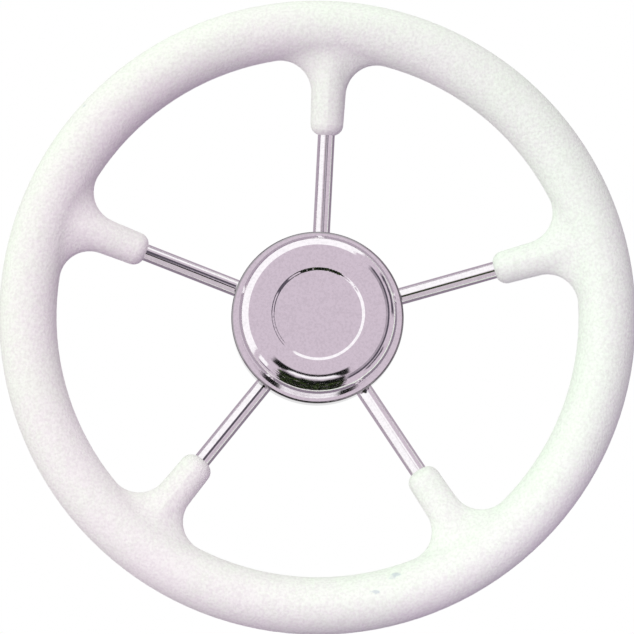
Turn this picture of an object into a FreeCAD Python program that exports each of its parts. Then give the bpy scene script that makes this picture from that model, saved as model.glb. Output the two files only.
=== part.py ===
"""Boat steering wheel: a soft moulded grip with five boots over a steel ring, five rod spokes, a pressed
hub shell with a turned boss, and a push-fit cap over the shaft nut.

Millimetres. Each piece is drawn in the wheel's own frame, with its axis along Z, its front towards +Z and
its first spoke along +X, and is then turned so that the wheel stands upright and faces -Y. The origin is
on the wheel's axis at the rear face of the boss, where the helm shaft goes in.
"""

import FreeCAD
import Part

import math
import os

import Sketcher
from FreeCAD import Placement
from FreeCAD import Rotation
from FreeCAD import Vector

# name, size in millimetres or degrees or a count, what it is
SIZES = (
    ("rim_diameter", 350, "outside diameter of the grip"),
    ("grip_thickness", 31.5, "diameter of the grip's round section"),
    ("core_thickness", 12, "outside diameter of the ring tube in the grip"),
    ("core_wall", 1.5, "wall of the ring tube"),
    ("spoke_count", 5, "spokes, evenly spaced"),
    ("spoke_thickness", 9.5, "diameter of a spoke rod"),
    ("spoke_tilt", 7, "degrees by which a spoke falls back towards the hub"),
    ("spoke_gap", 0.3, "clearance between a spoke's inner end and the lip's collar"),
    ("spoke_chamfer", 0.6, "chamfer on a spoke's inner end"),
    ("boot_length", 58.5, "from the middle of the grip to the inner end of a boot, along the spoke"),
    ("boot_root", 21, "diameter that a boot tapers from, in the middle of the grip"),
    ("boot_tip", 17.8, "diameter of a boot at its inner end"),
    ("boot_edge", 6, "rounding of a boot's inner end"),
    ("boot_blend", 17, "radius that blends a boot into the grip"),
    ("hub_diameter", 95, "outside diameter of the hub shell"),
    ("shell_wall", 1.5, "sheet thickness of the hub shell"),
    ("shell_base", 18, "from the boss's rear face to the shell's bottom"),
    ("shell_corner", 8, "outside rounding between the shell's bottom and its side"),
    ("spoke_margin", 1.5, "straight wall between that rounding and a spoke"),
    ("lip_cover", 4, "from a spoke's front to the front of the shell's lip"),
    ("lip_width", 4.7, "from the shell's side in to the collar's bore"),
    ("lip_round", 1, "outside rounding of the lip"),
    ("collar_depth", 7, "depth of the collar folded down inside the lip"),
    ("boss_diameter", 38, "outside diameter of the boss behind the shell"),
    ("boss_height", 32, "length of the boss"),
    ("boss_chamfer", 1.5, "chamfer on the boss's ends"),
    ("flange_diameter", 60, "flange of the boss inside the shell"),
    ("flange_height", 4, "thickness of that flange"),
    ("nose_diameter", 30, "the boss in front of its flange"),
    ("shaft_diameter", 19.05, "the helm shaft that the hub is bored for"),
    ("shaft_clearance", 0.075, "radial clearance in the parallel end of the bore"),
    ("land_depth", 8, "length of the parallel end of the bore"),
    ("taper_ratio", 12, "length over which the tapered bore loses 1 mm of diameter"),
    ("key_width", 4.8, "width of the keyway"),
    ("key_depth", 2.4, "depth of the keyway beyond the shaft's surface"),
    ("cap_overhang", 0.8, "by which the cap's side stands out over the collar's bore"),
    ("cap_height", 21, "from the cap's edge to its face"),
    ("cap_round", 6, "rounding between the cap's side and its face"),
    ("crown_width", 10.4, "sloping border of the cap's face, in from its side"),
    ("crown_drop", 1.1, "by which that border falls towards the side"),
    ("crown_round", 75, "radius that blends the border into the flat face"),
    ("cap_wall", 3.5, "wall of the cap's side"),
    ("cap_roof", 2.5, "thickness of the cap's face"),
    ("cap_gap", 0.3, "gap between the cap's edge and the lip"),
    ("cap_clearance", 0.3, "radial clearance of the cap's spigot in the collar"),
    ("spigot_depth", 6, "length of the cap's spigot below its edge"),
    ("recess_margin", 7.8, "flat ring between that border and the recess in the face's middle"),
    ("recess_depth", 0.55, "depth of that recess"),
    ("recess_step", 1.2, "width of the sloping step down to it"),
    ("seal_thickness", 1.5, "section of the rubber ring on the spigot"),
    ("seal_clearance", 0.05, "clearance of that ring, as drawn"),
)

# Sizes worked out from the ones above, as expressions that the sketches share
RING_RADIUS = "((dims.rim_diameter - dims.grip_thickness) / 2)"
HUB_RADIUS = "(dims.hub_diameter / 2)"
COLLAR_RADIUS = "(dims.hub_diameter / 2 - dims.lip_width)"
SPOKE_FRONT = "(dims.shell_base + dims.shell_corner + dims.spoke_margin + dims.spoke_thickness)"
LIP_FRONT = f"({SPOKE_FRONT} + dims.lip_cover)"
SPOKE_SEAT = f"({SPOKE_FRONT} - dims.spoke_thickness / 2)"
RIM_HEIGHT = f"({SPOKE_SEAT} + ({RING_RADIUS} - {HUB_RADIUS}) * tan(dims.spoke_tilt * 1 deg))"
SPOKE_END_RADIUS = (
    f"({COLLAR_RADIUS} + dims.shell_wall + dims.spoke_gap"
    " + dims.spoke_thickness / 2 * sin(dims.spoke_tilt * 1 deg))"
)
SPOKE_LENGTH = f"(({RING_RADIUS} - {SPOKE_END_RADIUS}) / cos(dims.spoke_tilt * 1 deg))"
SHAFT_RADIUS = "(dims.shaft_diameter / 2)"
LAND_RADIUS = "(dims.shaft_diameter / 2 + dims.shaft_clearance)"
NOSE_BORE = f"({SHAFT_RADIUS} - (dims.boss_height - dims.land_depth) / dims.taper_ratio / 2)"
FLANGE_REAR = "(dims.shell_base + dims.shell_wall)"
CAP_RADIUS = f"({COLLAR_RADIUS} + dims.cap_overhang)"
CAP_EDGE = f"({LIP_FRONT} + dims.cap_gap)"
CAP_FACE = f"({CAP_EDGE} + dims.cap_height)"
SPIGOT_RADIUS = f"({COLLAR_RADIUS} - dims.cap_clearance)"
SPIGOT_END = f"({CAP_EDGE} - dims.spigot_depth)"
SEAL_CENTRE = f"({COLLAR_RADIUS} - dims.seal_clearance - dims.seal_thickness / 2)"
SEAL_HEIGHT = f"({CAP_EDGE} - dims.spigot_depth / 2)"
GROOVE_FLOOR = f"({COLLAR_RADIUS} - 2 * dims.seal_clearance - dims.seal_thickness)"

# Turns the wheel's frame upright: its front to -Y and its first spoke to +Z
UPRIGHT = Rotation(Vector(1, 0, 0), 90) * Rotation(Vector(0, 0, 1), 90)
NEAR = 1e-4

doc = FreeCAD.newDocument("steering_wheel")
sheet = doc.addObject("Spreadsheet::Sheet", "dims")
for row, (alias, size, note) in enumerate(SIZES, start=1):
    sheet.set(f"A{row}", alias)
    sheet.set(f"B{row}", str(size))
    sheet.set(f"C{row}", note)
    sheet.setAlias(f"B{row}", alias)
doc.recompute()


def value(text):
    """The present value of an expression."""
    result = sheet.evalExpression(text)
    return float(getattr(result, "Value", result))


def make_body(label, turn=0.0):
    """A sub-part, turned about the wheel's axis by some degrees and then stood upright."""
    body = doc.addObject("PartDesign::Body", label)
    body.Label = label
    body.Placement = Placement(Vector(), UPRIGHT * Rotation(Vector(0, 0, 1), turn))
    return body


def origin_feature(body, role):
    return next(f for f in body.Origin.OriginFeatures if f.Role == role)


def make_sketch(body, name, plane):
    sketch = body.newObject("Sketcher::SketchObject", name)
    sketch.AttachmentSupport = [(origin_feature(body, plane), "")]
    sketch.MapMode = "FlatFace"
    return sketch


def section_sketch(body, name):
    """A sketch in a plane through the wheel's axis: across is the radius, up is along the axis."""
    return make_sketch(body, name, "XZ_Plane")


def spoke_sketch(body, name):
    """A sketch whose horizontal axis is the first spoke's axis, with its origin in the ring tube's centre."""
    sketch = section_sketch(body, name)
    sketch.setExpression("AttachmentOffset.Base.x", RING_RADIUS)
    sketch.setExpression("AttachmentOffset.Base.y", RIM_HEIGHT)
    sketch.setExpression("AttachmentOffset.Rotation.Angle", "dims.spoke_tilt * 1 deg")
    return sketch


def drive(sketch, constraint, text):
    """Adds a constraint and binds its size to an expression."""
    index = sketch.addConstraint(constraint)
    sketch.setExpression(f"Constraints[{index}]", text)


def place_point(sketch, line, end, across, up):
    """Ties one end of a line, or a circle's centre, to a place given by two expressions."""
    for kind, text, axis in (("DistanceX", across, -2), ("DistanceY", up, -1)):
        if text == "0":
            sketch.addConstraint(Sketcher.Constraint("PointOnObject", line, end, axis))
        else:
            drive(sketch, Sketcher.Constraint(kind, -1, 1, line, end, value(text)), text)


def draw_outline(sketch, corners):
    """A closed outline of straight lines whose corners are pairs of expressions."""
    points = [Vector(value(across), value(up), 0) for across, up in corners]
    count = len(points)
    for k in range(count):
        sketch.addGeometry(Part.LineSegment(points[k], points[(k + 1) % count]), False)
    for k in range(count):
        sketch.addConstraint(Sketcher.Constraint("Coincident", k, 2, (k + 1) % count, 1))
        place_point(sketch, k, 1, *corners[k])


def draw_circle(sketch, across, up, radius):
    """A circle whose centre and radius are expressions."""
    centre = Vector(value(across), value(up), 0)
    circle = sketch.addGeometry(Part.Circle(centre, Vector(0, 0, 1), value(radius)), False)
    place_point(sketch, circle, 3, across, up)
    drive(sketch, Sketcher.Constraint("Radius", circle, value(radius)), radius)


def spin(body, kind, name, sketch, axis="V_Axis"):
    """A full turn of a sketch about one of its axes: a Revolution adds, a Groove takes away."""
    feature = body.newObject(f"PartDesign::{kind}", name)
    feature.Profile = sketch
    feature.ReferenceAxis = (sketch, [axis])
    feature.Angle = 360
    sketch.Visibility = False
    doc.recompute()
    return feature


def one_spoke_wide(feature):
    """Limits a turn to the share of the ring that one spoke has, to both sides of it."""
    feature.setExpression("Angle", "360 / dims.spoke_count")
    feature.Midplane = True
    doc.recompute()


def spin_along_spoke(body, kind, name, start, end, start_radius, end_radius=None):
    """A round bar or bore on the first spoke's axis, between two distances from the ring tube's centre."""
    sketch = spoke_sketch(body, f"{name}_sketch")
    corners = ((start, "0"), (end, "0"), (end, end_radius or start_radius), (start, start_radius))
    draw_outline(sketch, corners)
    return spin(body, kind, name, sketch, "H_Axis")


def repeat_round(body, name, feature, mode="Features"):
    """Repeats a feature, or the whole shape with it, once for each spoke."""
    pattern = body.newObject("PartDesign::PolarPattern", name)
    pattern.TransformMode = mode
    pattern.Originals = [feature]
    pattern.Axis = (origin_feature(body, "Z_Axis"), [""])
    pattern.Angle = 360
    pattern.setExpression("Occurrences", "dims.spoke_count")
    body.Tip = pattern
    doc.recompute()
    return pattern


def circles_at(feature, *places):
    """Names of the circular edges round the wheel's axis, at any of some (radius, height) places."""
    wanted = [(value(radius), value(height)) for radius, height in places]
    names = []
    for number, edge in enumerate(feature.Shape.Edges, start=1):
        curve = edge.Curve
        if not isinstance(curve, Part.Circle) or math.hypot(curve.Center.x, curve.Center.y) > NEAR:
            continue
        if any(abs(curve.Radius - r) < NEAR and abs(curve.Center.z - h) < NEAR for r, h in wanted):
            names.append(f"Edge{number}")
    return names


def soften(body, kind, name, base, edges, size):
    """A Fillet or a Chamfer on named edges."""
    if not edges:
        raise ValueError(f"{body.Label}: no edges for {name}")
    feature = body.newObject(f"PartDesign::{kind}", name)
    feature.Base = (base, edges)
    feature.setExpression("Radius" if kind == "Fillet" else "Size", size)
    body.Tip = feature
    doc.recompute()
    return feature


def boot_edges(feature, where):
    """Edges of the boots: "blend" is where they leave the grip, "end" is the rim of their inner ends."""
    names = []
    boot_radius = value("dims.boot_tip / 2")
    for number, edge in enumerate(feature.Shape.Edges, start=1):
        curve = edge.Curve
        is_end = isinstance(curve, Part.Circle) and abs(curve.Radius - boot_radius) < NEAR
        surfaces = [
            face.Surface
            for face in feature.Shape.Faces
            if any(edge.isSame(other) for other in face.Edges)
        ]
        meets_grip = any(isinstance(s, Part.Toroid) for s in surfaces)
        meets_boot = any(isinstance(s, Part.Cone) for s in surfaces)
        if (where == "end" and is_end) or (where == "blend" and meets_grip and meets_boot):
            names.append(f"Edge{number}")
    return names


def make_rim_core():
    """The steel tube, bent to a ring, that the spokes are welded to."""
    body = make_body("rim_core")
    sketch = section_sketch(body, "tube_section")
    draw_circle(sketch, RING_RADIUS, RIM_HEIGHT, "dims.core_thickness / 2")
    draw_circle(sketch, RING_RADIUS, RIM_HEIGHT, "dims.core_thickness / 2 - dims.core_wall")
    spin(body, "Revolution", "tube_ring", sketch)
    return body


def make_rim_grip():
    """The soft grip, moulded in one over the ring and the outer ends of the spokes."""
    body = make_body("rim_grip")
    sketch = section_sketch(body, "grip_section")
    draw_circle(sketch, RING_RADIUS, RIM_HEIGHT, "dims.grip_thickness / 2")
    one_spoke_wide(spin(body, "Revolution", "grip_sector", sketch))
    boot = spin_along_spoke(
        body, "Revolution", "boot", "-dims.boot_length", "0", "dims.boot_tip / 2", "dims.boot_root / 2"
    )
    blend = soften(
        body, "Fillet", "boot_blend", boot, boot_edges(boot, "blend"), "dims.boot_blend"
    )
    soften(body, "Fillet", "boot_end", blend, boot_edges(blend, "end"), "dims.boot_edge")
    core = section_sketch(body, "core_section")
    draw_circle(core, RING_RADIUS, RIM_HEIGHT, "dims.core_thickness / 2")
    one_spoke_wide(spin(body, "Groove", "core_cavity", core))
    bore = spin_along_spoke(
        body, "Groove", "spoke_bore", "-dims.boot_length * 1.1", "0", "dims.spoke_thickness / 2"
    )
    repeat_round(body, "grip_ring", bore, "Whole shape")
    return body


def make_spoke(number):
    """One rod, coped to the ring tube at its outer end and welded into the shell at its inner end."""
    body = make_body(f"spoke_{number + 1}", -number * 360 / value("dims.spoke_count"))
    rod = spin_along_spoke(
        body, "Revolution", "rod", f"-{SPOKE_LENGTH}", "0", "dims.spoke_thickness / 2"
    )
    inner = min(
        range(len(rod.Shape.Edges)),
        key=lambda k: rod.Shape.Edges[k].BoundBox.Center.x if len(rod.Shape.Edges[k].Vertexes) == 1 else 1e9,
    )
    soften(body, "Chamfer", "rod_end", rod, [f"Edge{inner + 1}"], "dims.spoke_chamfer")
    sketch = section_sketch(body, "cope_section")
    draw_circle(sketch, RING_RADIUS, RIM_HEIGHT, "dims.core_thickness / 2")
    spin(body, "Groove", "cope", sketch)
    return body


def make_hub_shell():
    """The pressed shell: a flat bottom, a side that takes the spokes, and a lip folded in to a collar."""
    body = make_body("hub_shell")
    inside = f"({HUB_RADIUS} - dims.shell_wall)"
    floor = f"({FLANGE_REAR})"
    collar_back = f"({COLLAR_RADIUS} + dims.shell_wall)"
    collar_end = f"({LIP_FRONT} - dims.collar_depth)"
    lip_rear = f"({LIP_FRONT} - dims.shell_wall)"
    hole = "dims.boss_diameter / 2"
    sketch = section_sketch(body, "shell_section")
    draw_outline(
        sketch,
        (
            (hole, "dims.shell_base"),
            (HUB_RADIUS, "dims.shell_base"),
            (HUB_RADIUS, LIP_FRONT),
            (COLLAR_RADIUS, LIP_FRONT),
            (COLLAR_RADIUS, collar_end),
            (collar_back, collar_end),
            (collar_back, lip_rear),
            (inside, lip_rear),
            (inside, floor),
            (hole, floor),
        ),
    )
    cup = spin(body, "Revolution", "cup", sketch)
    rounds = (
        ("corner_outside", (HUB_RADIUS, "dims.shell_base"), "dims.shell_corner"),
        ("corner_inside", (inside, floor), "dims.shell_corner - dims.shell_wall"),
        ("lip_outside", (HUB_RADIUS, LIP_FRONT), "dims.lip_round"),
        ("lip_inside", (COLLAR_RADIUS, LIP_FRONT), "dims.shell_wall / 2"),
    )
    last = cup
    for name, place, radius in rounds:
        last = soften(body, "Fillet", name, last, circles_at(last, place), radius)
    hole = spin_along_spoke(
        body,
        "Groove",
        "spoke_hole",
        f"-{SPOKE_LENGTH}",
        f"-({RING_RADIUS} - {HUB_RADIUS}) / 2",
        "dims.spoke_thickness / 2",
    )
    repeat_round(body, "spoke_holes", hole)
    return body


def make_hub_boss():
    """The turned boss: flanged inside the shell, with a keyed bore that is parallel and then tapered."""
    body = make_body("hub_boss")
    outside = "dims.boss_diameter / 2"
    flange = "dims.flange_diameter / 2"
    flange_front = f"({FLANGE_REAR} + dims.flange_height)"
    nose = "dims.nose_diameter / 2"
    sketch = section_sketch(body, "boss_section")
    draw_outline(
        sketch,
        (
            (LAND_RADIUS, "0"),
            (outside, "0"),
            (outside, FLANGE_REAR),
            (flange, FLANGE_REAR),
            (flange, flange_front),
            (nose, flange_front),
            (nose, "dims.boss_height"),
            (NOSE_BORE, "dims.boss_height"),
            (SHAFT_RADIUS, "dims.land_depth"),
            (LAND_RADIUS, "dims.land_depth"),
        ),
    )
    turned = spin(body, "Revolution", "turned_boss", sketch)
    rims = circles_at(
        turned, (outside, "0"), (flange, flange_front), (nose, "dims.boss_height")
    )
    soften(body, "Chamfer", "boss_rims", turned, rims, "dims.boss_chamfer")
    key = make_sketch(body, "key_section", "XY_Plane")
    side = "dims.key_width / 2"
    top = f"({SHAFT_RADIUS} + dims.key_depth)"
    draw_outline(key, (("0", f"-{side}"), (top, f"-{side}"), (top, side), ("0", side)))
    keyway = body.newObject("PartDesign::Pocket", "keyway")
    keyway.Profile = key
    keyway.Type = "ThroughAll"
    keyway.Reversed = True
    key.Visibility = False
    doc.recompute()
    return body


def make_hub_cap():
    """The chromed cap: a rounded drum with a shallow round recess, and a grooved spigot for the collar."""
    body = make_body("hub_cap")
    outside = CAP_RADIUS
    bore = f"({outside} - dims.cap_wall)"
    crown = f"({outside} - dims.crown_width)"
    shoulder = f"({CAP_FACE} - dims.crown_drop)"
    recess = f"({crown} - dims.recess_margin)"
    step_foot = f"({recess} - dims.recess_step)"
    recess_floor = f"({CAP_FACE} - dims.recess_depth)"
    roof = f"({recess_floor} - dims.cap_roof)"
    groove_half = "(dims.seal_thickness / 2 + dims.seal_clearance)"
    sketch = section_sketch(body, "cap_section")
    draw_outline(
        sketch,
        (
            ("0", recess_floor),
            (step_foot, recess_floor),
            (recess, CAP_FACE),
            (crown, CAP_FACE),
            (outside, shoulder),
            (outside, CAP_EDGE),
            (SPIGOT_RADIUS, CAP_EDGE),
            (SPIGOT_RADIUS, f"({SEAL_HEIGHT} + {groove_half})"),
            (GROOVE_FLOOR, f"({SEAL_HEIGHT} + {groove_half})"),
            (GROOVE_FLOOR, f"({SEAL_HEIGHT} - {groove_half})"),
            (SPIGOT_RADIUS, f"({SEAL_HEIGHT} - {groove_half})"),
            (SPIGOT_RADIUS, SPIGOT_END),
            (bore, SPIGOT_END),
            (bore, roof),
            ("0", roof),
        ),
    )
    drum = spin(body, "Revolution", "drum", sketch)
    last = soften(
        body, "Fillet", "shoulder", drum, circles_at(drum, (outside, shoulder)), "dims.cap_round"
    )
    last = soften(
        body, "Fillet", "crown", last, circles_at(last, (crown, CAP_FACE)), "dims.crown_round"
    )
    last = soften(
        body,
        "Fillet",
        "roof_corner",
        last,
        circles_at(last, (bore, roof)),
        "dims.cap_round - dims.cap_wall",
    )
    last = soften(
        body, "Fillet", "step_top", last, circles_at(last, (recess, CAP_FACE)), "dims.recess_step"
    )
    soften(
        body,
        "Fillet",
        "step_bottom",
        last,
        circles_at(last, (step_foot, recess_floor)),
        "dims.recess_step",
    )
    return body


def make_cap_seal():
    """The rubber ring that holds the cap in the collar."""
    body = make_body("cap_seal")
    sketch = section_sketch(body, "seal_section")
    draw_circle(sketch, SEAL_CENTRE, SEAL_HEIGHT, "dims.seal_thickness / 2")
    spin(body, "Revolution", "seal_ring", sketch)
    return body


def check_and_export(bodies):
    """Stops on any failed object or bad solid, then writes one file for each sub-part."""
    doc.recompute()
    for item in doc.Objects:
        if "Invalid" in item.State or "Error" in item.State:
            raise RuntimeError(f"{item.Label} failed: {item.State}")
    for body in bodies:
        shape = body.Shape
        if shape.isNull() or not shape.isValid() or len(shape.Solids) != 1:
            raise RuntimeError(f"{body.Label} is not one valid solid")
    os.makedirs("parts", exist_ok=True)
    for body in bodies:
        body.Shape.exportStep(os.path.join("parts", f"{body.Label}.step"))
        box = body.Shape.BoundBox
        print(
            f"{body.Label}: {box.XLength:.2f} x {box.YLength:.2f} x {box.ZLength:.2f} mm,"
            f" {body.Shape.Volume / 1000:.2f} cm3"
        )


bodies = [make_rim_grip(), make_rim_core()]
bodies += [make_spoke(number) for number in range(round(value("dims.spoke_count")))]
bodies += [make_hub_shell(), make_hub_boss(), make_hub_cap(), make_cap_seal()]
check_and_export(bodies)
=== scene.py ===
"""A five-spoke boat steering wheel with a soft pale grip, shown in a bright studio."""

import math

import bpy
from mathutils import Matrix, Vector

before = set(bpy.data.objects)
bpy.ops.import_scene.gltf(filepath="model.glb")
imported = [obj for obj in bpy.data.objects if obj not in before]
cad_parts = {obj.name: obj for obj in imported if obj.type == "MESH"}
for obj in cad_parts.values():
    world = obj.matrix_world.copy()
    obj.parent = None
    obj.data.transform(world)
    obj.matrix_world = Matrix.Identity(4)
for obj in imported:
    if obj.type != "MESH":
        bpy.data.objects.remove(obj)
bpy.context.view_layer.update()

# Lengths are in metres, and colours are red, green and blue, with opacity where a node needs it
WHEEL_CENTRE = Vector((0.0, -0.046, 0.0))
AIM_POINT = Vector((-0.00037, -0.046, -0.0003))
VIEW_DISTANCE = 4.0
VIEW_WIDTH = 0.34853
VIEW_TURN = math.radians(-1.123)
VIEW_RISE = math.radians(-5.418)
WHEEL_ROLL = math.radians(2.788)
SENSOR_WIDTH = 36.0

FLOOR_HEIGHT = -0.5
FLOOR_HALF_SIDE = 4.0
FLOOR_DARK = (0.86, 0.81, 0.87, 1.0)
FLOOR_LIGHT = (0.88, 0.83, 0.89, 1.0)
WHITE = (1.0, 1.0, 1.0, 1.0)

# The soft light on the foam: its direction, and its colour from the side away from it (0) to its own side (1)
LIGHT_WAY = (-0.683, -0.183, 0.707)
LIGHT_RAMP = (
    (0.00, (0.020, 0.015, 0.050)),
    (0.18, (0.150, 0.080, 0.200)),
    (0.36, (0.635, 0.510, 0.645)),
    (0.54, (1.036, 0.983, 0.981)),
    (0.72, (1.074, 1.137, 1.011)),
    (0.88, (0.960, 1.133, 0.920)),
    (1.00, (0.784, 1.065, 0.782)),
)

# Lamps and cards: name, place, side, power and colour
LAMPS = (
    ("key", (-0.9, -1.53, 1.0), 0.9, 10.0, (1.0, 1.0, 1.0)),
    ("bounce_right", (0.27, -0.28, -0.26), 0.3, 0.33, (1.0, 0.95, 0.98)),
    ("bounce_left", (-0.22, -0.28, -0.32), 0.3, 0.20, (1.0, 0.95, 0.98)),
)
ROD_CARDS = (
    ("card", (0.0, -0.9, -1.3), 2.0, 7.5, (1.0, 0.88, 0.99)),
    ("side_card", (0.386, -1.47, -0.267), 0.4, 0.18, (1.0, 0.88, 0.99)),
)

FOAM_DARK_LILAC = (0.795, 0.752, 0.795, 1.0)
FOAM_DARK_GREEN = (0.782, 0.782, 0.772, 1.0)
FOAM_LIGHT_LILAC = (0.868, 0.840, 0.868, 1.0)
FOAM_LIGHT_GREEN = (0.860, 0.875, 0.856, 1.0)
# Painted tint of light on the foam: lilac on the left side, greener and a little brighter on the right, and
# the half-width of the change across the wheel
FOAM_LEFT_LIGHT_TINT = (0.990, 0.955, 0.978, 1.0)
FOAM_RIGHT_LIGHT_TINT = (0.998, 1.030, 1.005, 1.0)
LIGHT_TINT_REACH = 0.16
# Colour of small dark lilac-grey specks in the foam
DARK_SPECK_COLOUR = (0.50, 0.44, 0.52, 1.0)
SCUFF_COLOUR = (0.48, 0.52, 0.62, 1.0)
SCUFF_STRETCH = (0.45, 1.0, 1.0)

# Scuffs on the foam: place, size and strength
SCUFFS = (
    ((0.0497, -0.0575, -0.1405), 0.0032, 0.65),
    ((0.0475, -0.0585, -0.1425), 0.0022, 0.30),
    ((0.0383, -0.0610, -0.1507), 0.0024, 0.55),
    ((-0.1340, -0.0540, 0.1090), 0.0020, 0.45),
)

# How fine the foam's textures are, and how far the tone's noise is moved from the grain's
PEBBLE_SCALE = 700.0
GRAIN_SCALE = 640.0
TONE_SCALE = 560.0
SCUFF_SCALE = 500.0
DARK_SPECK_SCALE = 420.0
BLOTCH_SCALE = 150.0
CLOUD_SCALE = 26.0
TONE_SHIFT = (3.1, 1.7, 0.4)

# The metals and the rubber: their tints, the painted shade on the shell's outer edge (how much tint is left,
# and from how far out), and the wave of the turning rings
ROD_TINT = (0.93, 0.91, 0.93, 1.0)
HUB_TINT = (0.93, 0.90, 0.93, 1.0)
SPECK_SHARE = 0.90
# Painted shade on the shell's outer edge: the share of the tint left there, and the distance from the axis
# where it starts
EDGE_SHADE_SHARE = 0.36
SHELL_SHADE_FROM = 0.0464
TURNED_DARK = (0.42, 0.41, 0.42, 1.0)
TURNED_LIGHT = (0.52, 0.51, 0.53, 1.0)
TURNING_WAVE = 16000.0
RUBBER_DARK = (0.015, 0.015, 0.015, 1.0)
RUBBER_LIGHT = (0.03, 0.03, 0.03, 1.0)

# What polished metal shows, and the direction that the cap's flat face shows
FACE_SEES = (0.0191, -0.9954, 0.0941)
LILAC_SHADE = (0.67, 0.585, 0.66, 1.0)
BRIGHT_SIDE = (1.08, 1.07, 1.08, 1.0)
LILAC_BACK = (0.46, 0.39, 0.46, 1.0)
DARK_BACK = (0.28, 0.23, 0.29, 1.0)
DARK_STRIP = (0.04, 0.035, 0.055, 1.0)
STRIP_SHARE = 0.9
GROUND_DARK = (0.006, 0.007, 0.006, 1.0)
GROUND_GREEN = (0.075, 0.12, 0.03, 1.0)

# The shapes in the room, in degrees of the angles that room_angles gives
BRIGHT_OFF = (15.0, 93.0)
BRIGHT_TURN = (-121.0, 27.5)
BRIGHT_WIDENS_AT = 51.0
BRIGHT_WIDENS_OVER = 9.0
BRIGHT_WIDER = 5.0
GLINT_OFF = (24.0, 58.0)
GLINT_TURN = (-137.0, -127.0)
BACK_FROM = 94.0
DARK_BACK_SIDE = (-40.0, 105.0)
NEAR_OFF = (7.0, 8.8)
NEAR_SIDE = (-43.0, 31.0)
NEAR_WIDE_BEYOND = (-27.0, 19.0)
NEAR_WIDER = 2.2
GAP_OFF = (8.9, 10.6)
GAP_SIDE = (-26.0, 20.0)
FAR_OFF = (11.1, 94.0)
FAR_SIDE = (-33.0, 25.0)

# Dark strips in the room: whether ragged, their span of `off`, its soft edge, and their span of `turn`
STRIPS = (
    (False, (12.4, 30.0), 1.2, (44.0, 153.0)),
    (True, (52.0, 76.0), 3.0, (52.0, 84.0)),
    (True, (38.0, 54.0), 3.0, (112.0, 135.0)),
    (False, (64.0, 71.0), 2.0, (-142.0, -129.0)),
)


class Nodes:
    """A short way to build a node tree."""

    def __init__(self, tree):
        self.tree = tree
        self.tree.nodes.clear()

    def add(self, kind, **settings):
        node = self.tree.nodes.new(kind)
        for name, setting in settings.items():
            setattr(node, name, setting)
        return node

    def link(self, source, target):
        self.tree.links.new(source, target)

    def feed(self, socket, source):
        """Sets a socket to a number or a colour, or links it to another socket."""
        if isinstance(source, bpy.types.NodeSocket):
            self.link(source, socket)
        else:
            socket.default_value = source

    def maths(self, operation, *sources):
        node = self.add("ShaderNodeMath", operation=operation)
        for socket, source in zip(node.inputs, sources):
            self.feed(socket, source)
        return node.outputs[0]

    def weigh(self, first, first_share, second, second_share):
        """The sum of two numbers, each times its share."""
        return self.maths("MULTIPLY_ADD", first, first_share, self.maths("MULTIPLY", second, second_share))

    def vector(self, operation, *sources):
        node = self.add("ShaderNodeVectorMath", operation=operation)
        for socket, source in zip(node.inputs, sources):
            self.feed(socket, source)
        gives_number = operation in ("DOT_PRODUCT", "LENGTH")
        return node.outputs["Value" if gives_number else "Vector"]

    def ramp(self, source, stops):
        """Colours that follow one another along a number from 0 to 1."""
        node = self.add("ShaderNodeValToRGB")
        elements = node.color_ramp.elements
        elements.remove(elements[1])
        elements[0].position = stops[0][0]
        elements[0].color = (*stops[0][1], 1.0)
        for position, colour in stops[1:]:
            elements.new(position).color = (*colour, 1.0)
        self.feed(node.inputs[0], source)
        return node.outputs["Color"]

    def smooth(self, source, start, end):
        """0 at start and 1 at end, with a soft step between. The end may be the lower of the two."""
        node = self.add("ShaderNodeMapRange", interpolation_type="SMOOTHSTEP")
        self.feed(node.inputs["Value"], source)
        node.inputs["From Min"].default_value = start
        node.inputs["From Max"].default_value = end
        return node.outputs["Result"]

    def noise(self, vector, scale, detail=2.0, roughness=0.5):
        node = self.add("ShaderNodeTexNoise")
        self.link(vector, node.inputs["Vector"])
        node.inputs["Scale"].default_value = scale
        node.inputs["Detail"].default_value = detail
        node.inputs["Roughness"].default_value = roughness
        return node.outputs["Fac"]

    def blend(self, factor, first, second):
        """A mix of two colours."""
        node = self.add("ShaderNodeMix", data_type="RGBA")
        self.feed(node.inputs["Factor"], factor)
        self.feed(node.inputs[6], first)
        self.feed(node.inputs[7], second)
        return node.outputs[2]

    def bump(self, height, strength, distance, normal=None):
        node = self.add("ShaderNodeBump")
        self.link(height, node.inputs["Height"])
        node.inputs["Strength"].default_value = strength
        node.inputs["Distance"].default_value = distance
        if normal is not None:
            self.link(normal, node.inputs["Normal"])
        return node.outputs["Normal"]


def start_material(name):
    material = bpy.data.materials.new(name)
    material.use_nodes = True
    nodes = Nodes(material.node_tree)
    shader = nodes.add("ShaderNodeBsdfPrincipled")
    output = nodes.add("ShaderNodeOutputMaterial")
    nodes.link(shader.outputs[0], output.inputs["Surface"])
    place = nodes.add("ShaderNodeTexCoord").outputs["Object"]
    return material, nodes, shader, place


def darker(colour, share):
    return tuple(part * share for part in colour[:3]) + (1.0,)


def axis_distance(nodes, place):
    """How far a place is from the axis of the shaft."""
    return nodes.vector("LENGTH", nodes.vector("MULTIPLY", place, (1.0, 0.0, 1.0)))


def scuffed(nodes, place, colour):
    """The colour with the grey scuffs on it, each with a ragged outline."""
    ragged = nodes.noise(place, SCUFF_SCALE, detail=3.0, roughness=0.7)
    for spot, size, strength in SCUFFS:
        away = nodes.vector("MULTIPLY", nodes.vector("SUBTRACT", place, spot), SCUFF_STRETCH)
        reach = nodes.maths("MULTIPLY_ADD", ragged, size, nodes.vector("LENGTH", away))
        mark = nodes.smooth(reach, size * 1.15, size * 0.7)
        colour = nodes.blend(nodes.maths("MULTIPLY", mark, strength), colour, SCUFF_COLOUR)
    return colour


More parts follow.
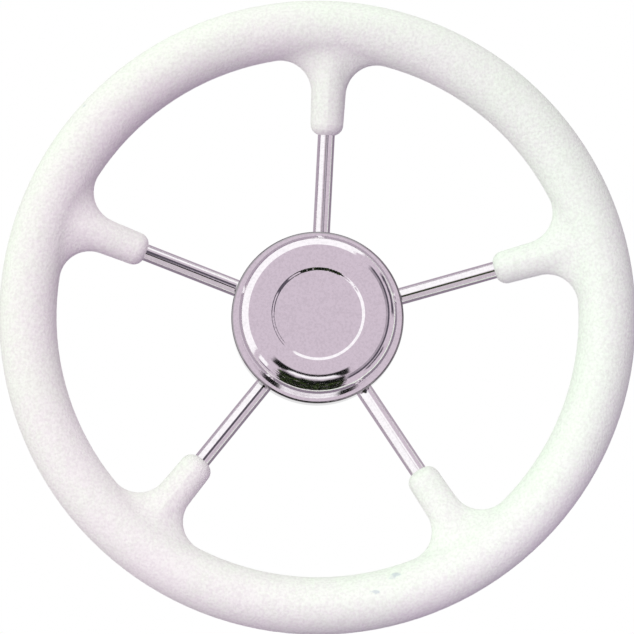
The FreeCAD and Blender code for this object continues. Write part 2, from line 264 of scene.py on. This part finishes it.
def foam_material():
    """Soft off-white skin: a fine pebbled grain, faint lilac and green mottling, a few grey scuffs, and a
    painted tint of light, lilac on the left and greener on the right.
    """
    material, nodes, shader, place = start_material("foam_skin")
    cells = nodes.add("ShaderNodeTexVoronoi", feature="SMOOTH_F1")
    nodes.link(place, cells.inputs["Vector"])
    cells.inputs["Scale"].default_value = PEBBLE_SCALE
    cells.inputs["Smoothness"].default_value = 0.5
    grain = nodes.noise(place, GRAIN_SCALE)
    tone = nodes.noise(nodes.vector("ADD", place, TONE_SHIFT), TONE_SCALE)
    blotch = nodes.noise(place, BLOTCH_SCALE, detail=3.0, roughness=0.6)
    cloud = nodes.noise(place, CLOUD_SCALE, detail=3.0)

    height = nodes.weigh(grain, 0.5, cells.outputs["Distance"], 0.6)
    skin = nodes.bump(height, strength=0.5, distance=0.0006)
    skin = nodes.bump(cloud, strength=0.2, distance=0.002, normal=skin)
    nodes.link(skin, shader.inputs["Normal"])

    tint = nodes.weigh(cloud, 0.4, nodes.weigh(blotch, 0.5, tone, 0.5), 0.6)
    tint = nodes.smooth(tint, 0.38, 0.62)
    dark = nodes.blend(tint, FOAM_DARK_LILAC, FOAM_DARK_GREEN)
    light = nodes.blend(tint, FOAM_LIGHT_LILAC, FOAM_LIGHT_GREEN)
    colour = nodes.blend(nodes.smooth(grain, 0.30, 0.66), dark, light)
    # Small dark lilac-grey specks, in the colour only: the surface has no pits there
    dark_specks = nodes.smooth(nodes.noise(place, DARK_SPECK_SCALE, roughness=0.6), 0.27, 0.19)
    colour = nodes.blend(nodes.maths("MULTIPLY", dark_specks, 0.35), colour, DARK_SPECK_COLOUR)

    # Painted light: the colour turns lilac towards the left side and greener and a little brighter towards
    # the right
    across = nodes.vector("DOT_PRODUCT", place, (1.0, 0.0, 0.0))
    across = nodes.maths("MULTIPLY_ADD", nodes.maths("SUBTRACT", cloud, 0.5), 0.08, across)
    light_tint = nodes.blend(nodes.smooth(across, -LIGHT_TINT_REACH, LIGHT_TINT_REACH), FOAM_LEFT_LIGHT_TINT, FOAM_RIGHT_LIGHT_TINT)
    colour = nodes.vector("MULTIPLY", colour, light_tint)
    nodes.link(scuffed(nodes, place, colour), shader.inputs["Base Color"])
    nodes.link(nodes.maths("MULTIPLY_ADD", grain, 0.15, 0.45), shader.inputs["Roughness"])
    shader.inputs["Specular IOR Level"].default_value = 0.35
    return material


def chrome_material(name, tint, roughness, scratch, shade_from=None):
    """Polished metal with very fine polishing lines. Beyond a distance from the axis its colour is darkened,
    a painted shade that gives the shell's rounded edge a dark outline.
    """
    material, nodes, shader, place = start_material(name)
    lines = nodes.noise(place, scale=600.0, detail=4.0, roughness=0.6)
    haze = nodes.noise(place, scale=60.0, detail=3.0)
    speck = nodes.noise(place, scale=800.0)
    nodes.link(nodes.bump(lines, scratch, distance=0.00005), shader.inputs["Normal"])
    colour = nodes.blend(nodes.smooth(speck, 0.3, 0.62), darker(tint, SPECK_SHARE), tint)
    if shade_from is not None:
        # Painted shade: the colour is darkened beyond a distance from the axis, drawing the dark outline of
        # the shell's edge
        painted_edge_shade = nodes.smooth(axis_distance(nodes, place), shade_from - 0.0002, shade_from + 0.0004)
        colour = nodes.blend(painted_edge_shade, colour, darker(tint, EDGE_SHADE_SHARE))
    nodes.link(colour, shader.inputs["Base Color"])
    polish = nodes.maths("MULTIPLY_ADD", haze, roughness * 0.6, roughness * 0.7)
    nodes.link(polish, shader.inputs["Roughness"])
    shader.inputs["Metallic"].default_value = 1.0
    return material


def turned_material():
    """Turned steel with fine rings about the shaft's axis."""
    material, nodes, shader, place = start_material("turned_steel")
    depth = nodes.vector("DOT_PRODUCT", place, (0.0, 1.0, 0.0))
    along = nodes.maths("ADD", axis_distance(nodes, place), depth)
    rings = nodes.maths("SINE", nodes.maths("MULTIPLY", along, TURNING_WAVE))
    cloud = nodes.noise(place, scale=120.0, detail=4.0, roughness=0.6)
    nodes.link(nodes.bump(rings, strength=0.25, distance=0.00004), shader.inputs["Normal"])
    nodes.link(nodes.blend(cloud, TURNED_DARK, TURNED_LIGHT), shader.inputs["Base Color"])
    nodes.link(nodes.maths("MULTIPLY_ADD", cloud, 0.15, 0.22), shader.inputs["Roughness"])
    shader.inputs["Metallic"].default_value = 1.0
    return material


def rubber_material():
    material, nodes, shader, place = start_material("seal_rubber")
    cloud = nodes.noise(place, scale=300.0, detail=3.0, roughness=0.6)
    nodes.link(nodes.blend(cloud, RUBBER_DARK, RUBBER_LIGHT), shader.inputs["Base Color"])
    nodes.link(nodes.maths("MULTIPLY_ADD", cloud, 0.2, 0.5), shader.inputs["Roughness"])
    nodes.link(nodes.bump(cloud, strength=0.2, distance=0.0001), shader.inputs["Normal"])
    return material


def dress(material, *names):
    for name in names:
        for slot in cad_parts[name].material_slots:
            slot.material = material


def make_camera():
    """Looks at the wheel from a little below and to the left, rolled so that the first spoke leans right."""
    back = Vector((
        math.sin(VIEW_TURN) * math.cos(VIEW_RISE),
        -math.cos(VIEW_TURN) * math.cos(VIEW_RISE),
        math.sin(VIEW_RISE),
    ))
    right = Vector((0, 0, 1)).cross(back).normalized()
    up = back.cross(right)
    level = Matrix((right, up, back)).transposed()
    turned = Matrix.Rotation(-WHEEL_ROLL, 3, "Y") @ level
    place = AIM_POINT + turned @ Vector((0, 0, VIEW_DISTANCE))
    data = bpy.data.cameras.new("camera")
    data.sensor_width = SENSOR_WIDTH
    data.lens = SENSOR_WIDTH * VIEW_DISTANCE / VIEW_WIDTH
    camera = bpy.data.objects.new("camera", data)
    camera.matrix_world = Matrix.Translation(place) @ turned.to_4x4()
    bpy.context.scene.collection.objects.link(camera)
    bpy.context.scene.camera = camera


def rising(nodes, angle, middle, edge):
    """0 below an angle in degrees and 1 above it, over a soft edge on both sides of it."""
    return nodes.smooth(angle, math.radians(middle - edge), math.radians(middle + edge))


def falling(nodes, angle, middle, edge):
    """1 below an angle in degrees and 0 above it, over a soft edge on both sides of it."""
    return nodes.smooth(angle, math.radians(middle + edge), math.radians(middle - edge))


def both(nodes, first, second):
    return nodes.maths("MULTIPLY", first, second)


def sector(nodes, angle, span, edge=3.0):
    """1 where an angle lies in a span in degrees, with soft edges."""
    return both(nodes, rising(nodes, angle, span[0], edge), falling(nodes, angle, span[1], edge))


def uneven(nodes, angle, noise, reach):
    """The angle, shifted both ways by a noise, by up to half the reach in radians."""
    return nodes.maths("MULTIPLY_ADD", nodes.maths("SUBTRACT", noise, 0.5), reach, angle)


def room_angles(nodes, way):
    """Where a direction lies round the one that the cap's flat face reflects to the camera.

    `off` is the angle from that direction, `turn` is clockwise from straight up, and `side` is to the right
    of straight down.
    """
    ahead = Vector(FACE_SEES).normalized()
    right = Vector((0, 0, 1)).cross(ahead).normalized()
    up = ahead.cross(right)
    off = nodes.maths("ARCCOSINE", nodes.vector("DOT_PRODUCT", way, tuple(ahead)))
    across = nodes.vector("DOT_PRODUCT", way, tuple(right))
    rise = nodes.vector("DOT_PRODUCT", way, tuple(up))
    turn = nodes.maths("ARCTAN2", across, rise)
    side = nodes.maths("ARCTAN2", across, nodes.maths("MULTIPLY", rise, -1.0))
    return off, turn, side


def room_walls(nodes, off, rough_off, turn, side):
    """Lilac shade with a bright left side, and a darker lilac behind the wheel."""
    widens = rising(nodes, off, BRIGHT_WIDENS_AT, BRIGHT_WIDENS_OVER)
    wider = nodes.maths("MULTIPLY", widens, math.radians(BRIGHT_WIDER))
    bright_end = falling(nodes, nodes.maths("SUBTRACT", turn, wider), BRIGHT_TURN[1], 2.5)
    bright_turn = both(nodes, rising(nodes, turn, BRIGHT_TURN[0], 2.0), bright_end)
    bright = both(nodes, sector(nodes, off, BRIGHT_OFF, 2.0), bright_turn)
    glint = both(nodes, sector(nodes, rough_off, GLINT_OFF), sector(nodes, turn, GLINT_TURN, 1.5))
    walls = nodes.blend(nodes.maths("MAXIMUM", bright, glint), LILAC_SHADE, BRIGHT_SIDE)
    back = nodes.blend(sector(nodes, side, DARK_BACK_SIDE, 12.0), LILAC_BACK, DARK_BACK)
    return nodes.blend(rising(nodes, off, BACK_FROM, 3.0), walls, back)


def room_strips(nodes, rough_off, ragged_off, turn):
    """Where the dark strips of the room are."""
    strips = 0.0
    for is_ragged, off_span, edge, turn_span in STRIPS:
        off = ragged_off if is_ragged else rough_off
        strip = both(nodes, sector(nodes, off, off_span, edge), sector(nodes, turn, turn_span))
        strips = nodes.maths("MAXIMUM", strip, strips)
    return strips


def leafy_green(nodes, way):
    """Dark green ground with lighter leaves, and gaps that show the lilac shade."""
    leaves = nodes.noise(way, scale=18.0, detail=5.0, roughness=0.75)
    green = nodes.blend(nodes.smooth(leaves, 0.50, 0.64), GROUND_DARK, GROUND_GREEN)
    gaps = nodes.noise(way, scale=26.0, detail=3.0, roughness=0.6)
    return nodes.blend(nodes.smooth(gaps, 0.63, 0.70), green, LILAC_SHADE)


def near_ground(nodes, off, side):
    """Where the thin dark rim of the ground is, which is wider at its two ends."""
    at_left = falling(nodes, side, NEAR_WIDE_BEYOND[0], 5.0)
    at_right = rising(nodes, side, NEAR_WIDE_BEYOND[1], 5.0)
    wider = nodes.maths("MULTIPLY", nodes.maths("ADD", at_left, at_right), math.radians(NEAR_WIDER))
    starts = rising(nodes, off, NEAR_OFF[0], 0.4)
    ends = falling(nodes, nodes.maths("SUBTRACT", off, wider), NEAR_OFF[1], 0.3)
    return both(nodes, both(nodes, starts, ends), sector(nodes, side, NEAR_SIDE, 2.0))


def reflected_room(nodes, way):
    """What the polished metal shows: lilac shade, a bright left side and dark green ground in front."""
    off, turn, side = room_angles(nodes, way)
    rough = nodes.noise(way, scale=22.0, detail=4.0, roughness=0.65)
    ragged = nodes.noise(way, scale=9.0, detail=3.0, roughness=0.7)
    rough_off = uneven(nodes, off, rough, 0.03)
    ragged_off = uneven(nodes, off, ragged, 0.6)
    ragged_side = uneven(nodes, side, ragged, 0.35)

    room = room_walls(nodes, off, rough_off, turn, side)
    strips = room_strips(nodes, rough_off, ragged_off, turn)
    room = nodes.blend(nodes.maths("MULTIPLY", strips, STRIP_SHARE), room, DARK_STRIP)
    gap = both(nodes, sector(nodes, off, GAP_OFF, 0.4), sector(nodes, side, GAP_SIDE))
    room = nodes.blend(gap, room, BRIGHT_SIDE)
    starts = rising(nodes, rough_off, FAR_OFF[0], 0.4)
    ends = falling(nodes, ragged_off, FAR_OFF[1], 4.0)
    far = both(nodes, both(nodes, starts, ends), sector(nodes, ragged_side, FAR_SIDE, 1.5))
    room = nodes.blend(far, room, leafy_green(nodes, way))
    return nodes.blend(near_ground(nodes, off, side), room, GROUND_DARK)


def make_world():
    """White to the camera, a soft even light on the wheel, and a room with shapes for polished metal."""
    world = bpy.data.worlds.new("studio")
    bpy.context.scene.world = world
    world.use_nodes = True
    nodes = Nodes(world.node_tree)
    way = nodes.add("ShaderNodeTexCoord").outputs["Generated"]
    toward = nodes.vector("DOT_PRODUCT", way, tuple(Vector(LIGHT_WAY).normalized()))
    soft = nodes.ramp(nodes.maths("MULTIPLY_ADD", toward, 0.5, 0.5), LIGHT_RAMP)
    path = nodes.add("ShaderNodeLightPath").outputs
    lit = nodes.add("ShaderNodeBackground")
    light = nodes.blend(path["Is Glossy Ray"], soft, reflected_room(nodes, way))
    nodes.link(light, lit.inputs["Color"])
    plain = nodes.add("ShaderNodeBackground")
    plain.inputs["Color"].default_value = WHITE

    # Polished metal shows the white backdrop too, where it looks straight back
    backward = nodes.vector("DOT_PRODUCT", way, (0.0, 1.0, 0.0))
    straight_back = both(nodes, path["Is Glossy Ray"], nodes.smooth(backward, 0.90, 0.96))
    white = nodes.maths("MAXIMUM", path["Is Camera Ray"], path["Is Transmission Ray"])
    mix = nodes.add("ShaderNodeMixShader")
    nodes.link(nodes.maths("MAXIMUM", white, straight_back), mix.inputs[0])
    nodes.link(lit.outputs[0], mix.inputs[1])
    nodes.link(plain.outputs[0], mix.inputs[2])
    output = nodes.add("ShaderNodeOutputWorld")
    nodes.link(mix.outputs[0], output.inputs["Surface"])


def make_lamp(name, place, side, power, colour):
    """A square lamp that faces the wheel and doesn't show itself."""
    data = bpy.data.lights.new(name, "AREA")
    data.shape = "SQUARE"
    data.size = side
    data.energy = power
    data.color = colour
    lamp = bpy.data.objects.new(name, data)
    lamp.location = place
    lamp.rotation_euler = (Vector(place) - WHEEL_CENTRE).to_track_quat("Z", "Y").to_euler()
    lamp.visible_glossy = False
    lamp.visible_camera = False
    bpy.context.scene.collection.objects.link(lamp)
    return lamp


def light_only(lamp, names):
    """Makes a lamp light only these nodes, and show in their polish as a card."""
    receivers = bpy.data.collections.new("lit_by_" + lamp.name)
    for name in names:
        receivers.objects.link(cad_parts[name])
    lamp.light_linking.receiver_collection = receivers
    lamp.visible_glossy = True


def make_floor():
    """A pale floor that only the camera sees, so that it throws no light or reflection on the wheel."""
    mesh = bpy.data.meshes.new("floor")
    half = FLOOR_HALF_SIDE
    outline = ((-half, -half), (half, -half), (half, half), (-half, half))
    mesh.from_pydata([(x, y, FLOOR_HEIGHT) for x, y in outline], [], [(0, 1, 2, 3)])
    floor = bpy.data.objects.new("floor", mesh)
    bpy.context.scene.collection.objects.link(floor)
    material, nodes, shader, place = start_material("floor_paint")
    cloud = nodes.noise(place, scale=3.0)
    nodes.link(nodes.blend(cloud, FLOOR_DARK, FLOOR_LIGHT), shader.inputs["Base Color"])
    shader.inputs["Roughness"].default_value = 0.9
    mesh.materials.append(material)
    floor.visible_glossy = False
    floor.visible_diffuse = False


spokes = sorted(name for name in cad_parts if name.startswith("spoke_"))
dress(foam_material(), "rim_grip")
dress(chrome_material("polished_rod", ROD_TINT, 0.05, 0.05), *spokes)
# The shell gets a painted shade on its outer edge
dress(chrome_material("polished_shell", HUB_TINT, 0.05, 0.05, SHELL_SHADE_FROM), "hub_shell")
dress(chrome_material("polished_cap", HUB_TINT, 0.04, 0.04), "hub_cap")
dress(turned_material(), "hub_boss", "rim_core")
dress(rubber_material(), "cap_seal")
make_camera()
make_world()
for lamp in LAMPS:
    make_lamp(*lamp)
for card in ROD_CARDS:
    light_only(make_lamp(*card), spokes)
make_floor()

bpy.context.scene.view_settings.view_transform = "Standard"
